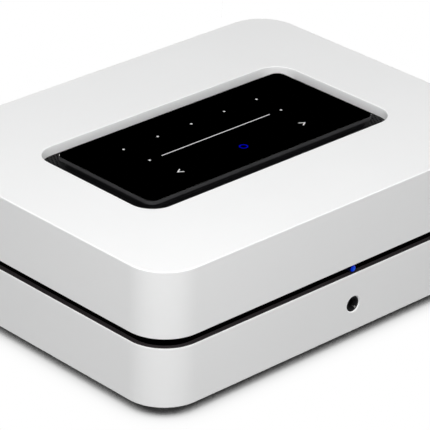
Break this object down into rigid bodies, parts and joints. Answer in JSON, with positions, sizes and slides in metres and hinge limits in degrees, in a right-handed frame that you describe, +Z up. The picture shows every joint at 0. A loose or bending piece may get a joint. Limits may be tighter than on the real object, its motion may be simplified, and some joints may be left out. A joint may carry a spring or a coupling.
{
  "type": "streaming amplifier",
  "caption": "Compact white amplifier for streamed music, with a touch panel in a recess in its top, a black waist gap, a front headphone socket and speaker terminals at the back.",
  "frame": {"origin": "middle of the floor area that the whole object covers, on the floor under the feet", "axes": "+X to the right seen from the front, +Y from the front to the back, +Z up"},
  "size_m": [0.22, 0.19, 0.0673],
  "materials": {
    "white_paint": "satin white powder paint on cast aluminium",
    "black_plastic": "moulded black plastic with a fine grain",
    "foot_rubber": "matt black rubber",
    "zinc_steel": "zinc-plated steel",
    "black_plate": "steel sheet with matt black paint",
    "circuit_board": "glass-fibre board with green solder mask",
    "led_resin": "moulded lamp resin",
    "guide_acrylic": "frosted acrylic",
    "white_glow": "white marks lit from below",
    "blue_glow": "blue ring lit from below",
    "black_ink": "black print on film",
    "cover_glass": "polished cover glass",
    "flat_cable": "flat flexible cable",
    "nickel": "nickel plate",
    "blue_lamp": "blue light pipe",
    "dark_resin": "dark infrared filter resin",
    "brass": "plain brass",
    "chip_black": "moulded chip resin",
    "bare_aluminium": "extruded aluminium",
    "copper_wire": "enamelled copper wire",
    "ferrite": "ferrite",
    "capacitor_sleeve": "aluminium can in a dark shrink sleeve",
    "fuse_ceramic": "ceramic tube with metal caps",
    "grey_plastic": "moulded grey plastic",
    "gold_plate": "gold-plated brass",
    "red_plastic": "moulded red plastic"
  },
  "bodies": {
    "casing": {"bottom_shell": "white_paint", "top_shell": "white_paint", "waist_frame": "black_plastic", "feet": "foot_rubber", "case_screws": "zinc_steel", "glass_carrier": "black_plastic", "carrier_screws": "zinc_steel", "vent_mesh": "black_plate", "touch_board": "circuit_board", "indicator_leds": "led_resin", "light_guide": "guide_acrylic", "white_marks": "white_glow", "ring_mark": "blue_glow", "mask_sheet": "black_ink", "touch_glass": "cover_glass", "touch_cable": "flat_cable", "headphone_jack": "black_plastic", "headphone_sleeve": "nickel", "front_board": "circuit_board", "status_lamp": "blue_lamp", "infrared_receiver": "dark_resin", "main_board": "circuit_board", "power_board": "circuit_board", "standoffs": "brass", "board_screws": "zinc_steel", "processor_shield": "nickel", "wireless_module": "nickel", "antennas": "black_plastic", "amplifier_chips": "chip_black", "heat_sink": "bare_aluminium", "output_chokes": "copper_wire", "transformer_core": "ferrite", "transformer_winding": "copper_wire", "bulk_capacitors": "capacitor_sleeve", "fuse": "fuse_ceramic", "power_lead": "black_plastic", "network_socket": "black_plastic", "usb_socket": "nickel", "hdmi_socket": "nickel", "optical_socket": "black_plastic", "line_in_socket": "black_plastic", "subwoofer_socket": "nickel", "reset_switch": "black_plastic", "mains_inlet": "black_plastic", "mains_pins": "nickel", "terminal_block": "black_plastic", "terminal_studs": "gold_plate", "speaker_board": "circuit_board", "rear_panel": "black_plate", "panel_screws": "zinc_steel"},
    "thumb_nut_1": {"thumb_nut_1": "red_plastic"},
    "thumb_nut_2": {"thumb_nut_2": "black_plastic"},
    "thumb_nut_3": {"thumb_nut_3": "red_plastic"},
    "thumb_nut_4": {"thumb_nut_4": "black_plastic"},
    "clamp_washer_1": {"clamp_washer_1": "gold_plate"},
    "clamp_washer_2": {"clamp_washer_2": "gold_plate"},
    "clamp_washer_3": {"clamp_washer_3": "gold_plate"},
    "clamp_washer_4": {"clamp_washer_4": "gold_plate"},
    "optical_shutter": {"optical_shutter": "grey_plastic"},
    "reset_button": {"reset_button": "grey_plastic"}
  },
  "joints": [
    {"name": "clamp_washer_1_slide", "type": "slide", "parent": "casing", "child": "clamp_washer_1", "axis": [0, 1, 0], "range_m": [0, 0.004]},
    {"name": "thumb_nut_1_turn", "type": "hinge", "parent": "clamp_washer_1", "child": "thumb_nut_1", "pos_m": [-0.05858, 0.08745, 0.046], "axis": [0, 1, 0], "range_deg": [0, 1440]},
    {"name": "clamp_washer_2_slide", "type": "slide", "parent": "casing", "child": "clamp_washer_2", "axis": [0, 1, 0], "range_m": [0, 0.004]},
    {"name": "thumb_nut_2_turn", "type": "hinge", "parent": "clamp_washer_2", "child": "thumb_nut_2", "pos_m": [-0.03952, 0.08745, 0.046], "axis": [0, 1, 0], "range_deg": [0, 1440]},
    {"name": "clamp_washer_3_slide", "type": "slide", "parent": "casing", "child": "clamp_washer_3", "axis": [0, 1, 0], "range_m": [0, 0.004]},
    {"name": "thumb_nut_3_turn", "type": "hinge", "parent": "clamp_washer_3", "child": "thumb_nut_3", "pos_m": [-0.02048, 0.08745, 0.046], "axis": [0, 1, 0], "range_deg": [0, 1440]},
    {"name": "clamp_washer_4_slide", "type": "slide", "parent": "casing", "child": "clamp_washer_4", "axis": [0, 1, 0], "range_m": [0, 0.004]},
    {"name": "thumb_nut_4_turn", "type": "hinge", "parent": "clamp_washer_4", "child": "thumb_nut_4", "pos_m": [-0.00143, 0.08745, 0.046], "axis": [0, 1, 0], "range_deg": [0, 1440]},
    {"name": "optical_shutter_swing", "type": "hinge", "parent": "casing", "child": "optical_shutter", "pos_m": [-0.0152, 0.073, 0.0257], "axis": [-1, 0, 0], "range_deg": [0, 85], "stiffness_Nm_per_rad": 0.00005},
    {"name": "reset_button_press", "type": "slide", "parent": "casing", "child": "reset_button", "axis": [0, -1, 0], "range_m": [0, 0.0008], "stiffness_N_per_m": 400}
  ],
  "couplings": [
    {"joint": "thumb_nut_1_turn", "follows": "clamp_washer_1_slide", "rad_per_m": 6283.2},
    {"joint": "thumb_nut_2_turn", "follows": "clamp_washer_2_slide", "rad_per_m": 6283.2},
    {"joint": "thumb_nut_3_turn", "follows": "clamp_washer_3_slide", "rad_per_m": 6283.2},
    {"joint": "thumb_nut_4_turn", "follows": "clamp_washer_4_slide", "rad_per_m": 6283.2}
  ]
}
